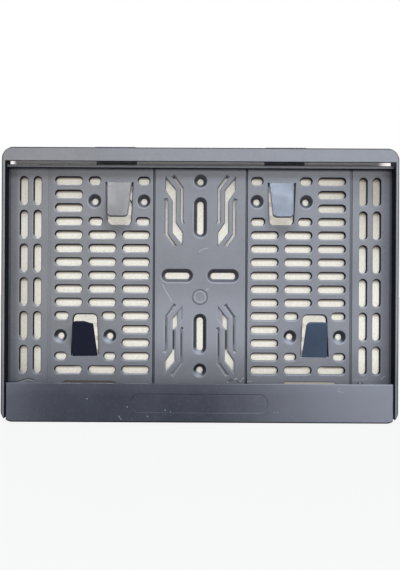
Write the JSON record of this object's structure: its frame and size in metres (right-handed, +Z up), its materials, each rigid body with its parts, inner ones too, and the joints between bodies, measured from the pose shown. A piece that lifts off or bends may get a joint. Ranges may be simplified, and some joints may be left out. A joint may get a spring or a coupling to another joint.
{
  "type": "number plate holder",
  "caption": "Black moulded holder for a two-line number plate: slotted tray with a top lip, spring tongues and countersunk screw points, and a clip-on bottom strip.",
  "frame": {"origin": "centre of the slot grid and of the middle screw holes, on the back plane that lies against the car", "axes": "+X to the right of a viewer facing the plate, +Y into the car, +Z up; the front faces -Y"},
  "size_m": [0.348, 0.0175, 0.2419],
  "materials": {
    "frame_plastic": "fine matte moulded grain, black gone grey",
    "strip_plastic": "smoother satin, black gone grey"
  },
  "bodies": {
    "root": {"base_frame": "frame_plastic", "bottom_strip": "strip_plastic"}
  },
  "joints": []
}
